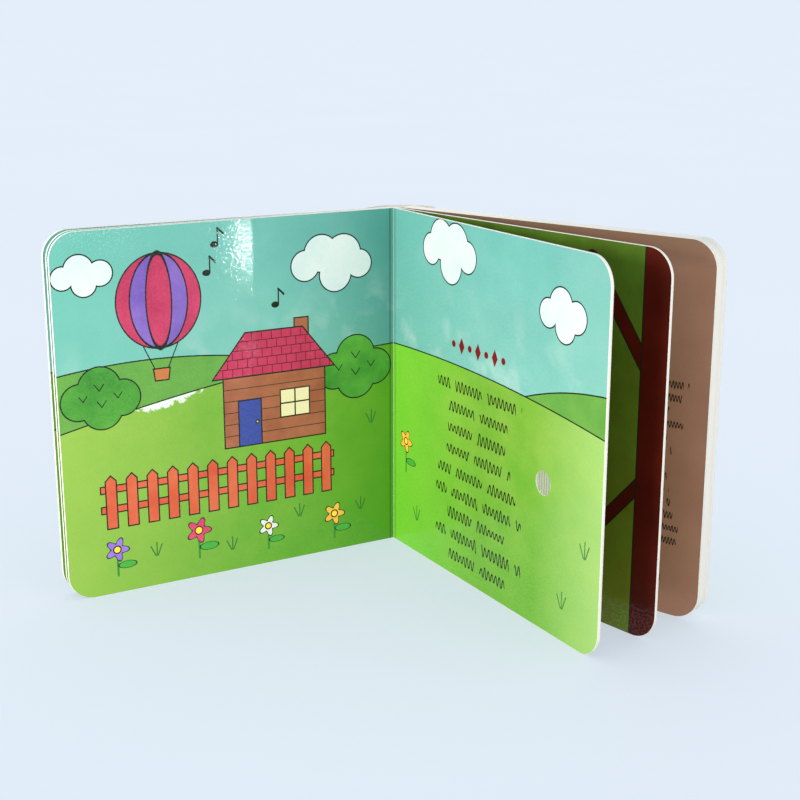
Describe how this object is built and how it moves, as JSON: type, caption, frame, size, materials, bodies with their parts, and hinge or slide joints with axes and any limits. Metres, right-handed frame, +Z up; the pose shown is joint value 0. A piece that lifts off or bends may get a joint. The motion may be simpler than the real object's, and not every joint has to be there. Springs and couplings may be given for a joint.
{
  "type": "musical sound book",
  "caption": "Small square board book standing open, with fanned rounded leaves, a ribbed light window and a thick back block that holds a battery sound unit.",
  "frame": {"origin": "on the foot of the book, at the heart of the folded page backs, 1.4 mm behind the gutter of the open spread", "axes": "+Z up along the spine, +X to the reader's right, +Y away from the reader"},
  "size_m": [0.2767, 0.1504, 0.16],
  "materials": {
    "pages": "printed and gloss laminated board, white cut edges",
    "front_cover": "printed and gloss laminated board",
    "spine_strip": "printed and gloss laminated card",
    "block_lining": "printed and gloss laminated board, white cut edges",
    "block_frame": "plain white board",
    "back_cover": "printed and gloss laminated board",
    "window": "ribbed translucent white plastic",
    "unit_shell": "moulded white ABS",
    "unit_plate": "moulded white ABS",
    "battery_door": "moulded white ABS, fine spark texture",
    "screw_steel": "zinc plated",
    "speaker_steel": "pressed steel basket",
    "magnet": "sintered ferrite",
    "cone_film": "thin clear polyester film",
    "board_laminate": "phenolic board with green mask",
    "chip_resin": "poured black resin",
    "sensor": "clear coated light sensor",
    "cell_can": "nickel plated steel can",
    "contact_strip": "nickel plated spring strip",
    "lead_cover": "PVC covered flat lead"
  },
  "bodies": {
    "page_block": {"pages": "pages", "text_leaf_window": "window", "inner_leaf_window": "window", "spine_strip": "spine_strip"},
    "front_cover": {"front_cover": "front_cover"},
    "battery_door": {"battery_door": "battery_door", "door_contact": "contact_strip"},
    "door_screw": {"door_screw": "screw_steel"},
    "sound_block": {"block_lining": "block_lining", "block_frame": "block_frame", "back_cover": "back_cover", "lining_window": "window", "unit_tray": "unit_shell", "unit_plate": "unit_plate", "unit_screws": "screw_steel", "speaker_frame": "speaker_steel", "speaker_magnet": "magnet", "speaker_cone": "cone_film", "circuit_board": "board_laminate", "chip_dome": "chip_resin", "light_sensor": "sensor", "button_cell_1": "cell_can", "button_cell_2": "cell_can", "button_cell_3": "cell_can", "end_contact": "contact_strip", "link_contact": "contact_strip", "side_contact": "contact_strip", "long_battery_lead": "lead_cover", "short_battery_lead": "lead_cover", "speaker_lead": "lead_cover"}
  },
  "joints": [
    {"name": "front_cover_hinge", "type": "hinge", "parent": "page_block", "child": "front_cover", "pos_m": [-0.01281, -0.00264, 0], "axis": [0, 0, -1], "range_deg": [-1, 100]},
    {"name": "sound_block_hinge", "type": "hinge", "parent": "page_block", "child": "sound_block", "pos_m": [0.00355, 0.00045, 0], "axis": [0, 0, 1], "range_deg": [-9, 68], "deforming": ["spine_strip"]},
    {"name": "battery_door_hinge", "type": "hinge", "parent": "sound_block", "child": "battery_door", "pos_m": [0.05912, -0.03592, 0], "axis": [0, 0, 1], "range_deg": [0, 70]},
    {"name": "door_screw_travel", "type": "slide", "parent": "battery_door", "child": "door_screw", "axis": [0.6374, 0.7705, 0], "range_m": [0, 0.003]}
  ]
}
